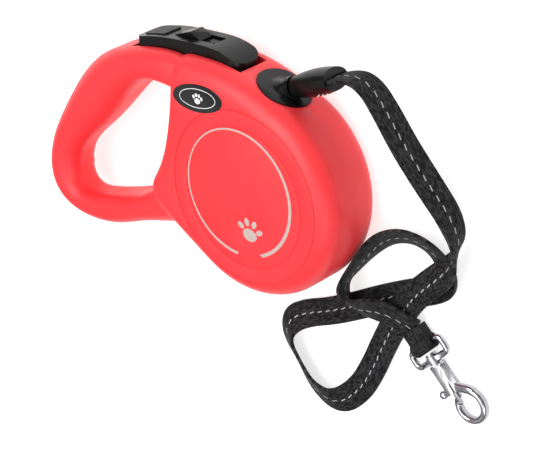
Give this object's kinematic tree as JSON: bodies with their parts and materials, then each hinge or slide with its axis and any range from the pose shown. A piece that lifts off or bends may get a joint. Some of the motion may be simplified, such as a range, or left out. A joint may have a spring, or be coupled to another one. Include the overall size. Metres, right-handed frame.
{
  "type": "retractable leash",
  "caption": "Hand-held retractable dog lead: round spool housing with finger hole, brake rocker, webbing strap and swivel snap hook.",
  "frame": {"origin": "where the spool axis meets the table, on the back shell's flat face", "axes": "+Z along the spool axis towards the printed face; -X from the spool towards the handle"},
  "size_m": [0.2836, 0.2022, 0.0423],
  "materials": {
    "housing_red": "satin moulded",
    "black_plastic": "satin",
    "black_rubber": "satin",
    "grey_rubber": "matte",
    "inner_plastic": "moulded",
    "steel": "bright",
    "chrome": "polished",
    "webbing": "woven",
    "cord_black": "braided",
    "badge_black": "gloss",
    "print_grey": "printed"
  },
  "bodies": {
    "housing": {"front_shell": "housing_red", "back_shell": "housing_red", "housing_screws": "steel", "axle": "steel", "spring_arbor": "inner_plastic", "thrust_washers": "inner_plastic", "power_spring": "steel", "nozzle": "black_plastic", "button_pin": "steel", "button_spring": "steel", "badge": "badge_black", "face_print": "print_grey"},
    "spool_body": {"spool": "inner_plastic", "spring_cover": "inner_plastic", "wound_cord": "cord_black"},
    "leader": {"cord_run": "cord_black", "stopper": "black_rubber", "leash_strap": "webbing", "strap_end": "webbing"},
    "eye_body": {"snap_eye": "chrome"},
    "hook": {"hook_body": "chrome", "swivel_rivet": "chrome", "bolt_spring": "steel"},
    "bolt": {"snap_bolt": "chrome"},
    "button": {"brake_button": "black_plastic", "thumb_pad": "grey_rubber"},
    "slider": {"lock_slider": "black_plastic"},
    "pawl": {"brake_pawl": "inner_plastic"}
  },
  "joints": [
    {"name": "leader_pull", "type": "slide", "parent": "housing", "child": "leader", "axis": [0.8788, 0.4772, 0], "range_m": [0, 0.0383]},
    {"name": "spool_spin", "type": "hinge", "parent": "housing", "child": "spool_body", "pos_m": [0, 0, 0.021], "axis": [0, 0, -1], "range_deg": [0, 48.1]},
    {"name": "button_press", "type": "hinge", "parent": "housing", "child": "button", "pos_m": [-0.024, 0.057, 0.021], "axis": [0, 0, 1], "range_deg": [0, 5], "stiffness_Nm_per_rad": 2, "springref_deg": -5.73},
    {"name": "pawl_slide", "type": "slide", "parent": "housing", "child": "pawl", "axis": [0.7431, -0.6691, 0], "range_m": [0, 0.0023]},
    {"name": "lock_slide", "type": "slide", "parent": "button", "child": "slider", "axis": [0.989, 0.1478, 0], "range_m": [0, 0.0065]},
    {"name": "eye_pivot", "type": "hinge", "parent": "leader", "child": "eye_body", "pos_m": [0.09155, -0.06156, 0.0044], "axis": [0.6401, 0.7683, 0], "range_deg": [-35, 35]},
    {"name": "hook_swivel", "type": "hinge", "parent": "eye_body", "child": "hook", "pos_m": [0.1, -0.0686, 0.0044], "axis": [0.7683, -0.6401, 0], "continuous": true},
    {"name": "bolt_slide", "type": "slide", "parent": "hook", "child": "bolt", "axis": [-0.7683, 0.6401, 0], "range_m": [0, 0.0045], "stiffness_N_per_m": 300, "springref_m": -0.003}
  ],
  "couplings": [
    {"joint": "spool_spin", "follows": "leader_pull", "rad_per_m": 21.872},
    {"joint": "pawl_slide", "follows": "button_press", "m_per_rad": 0.0252}
  ]
}
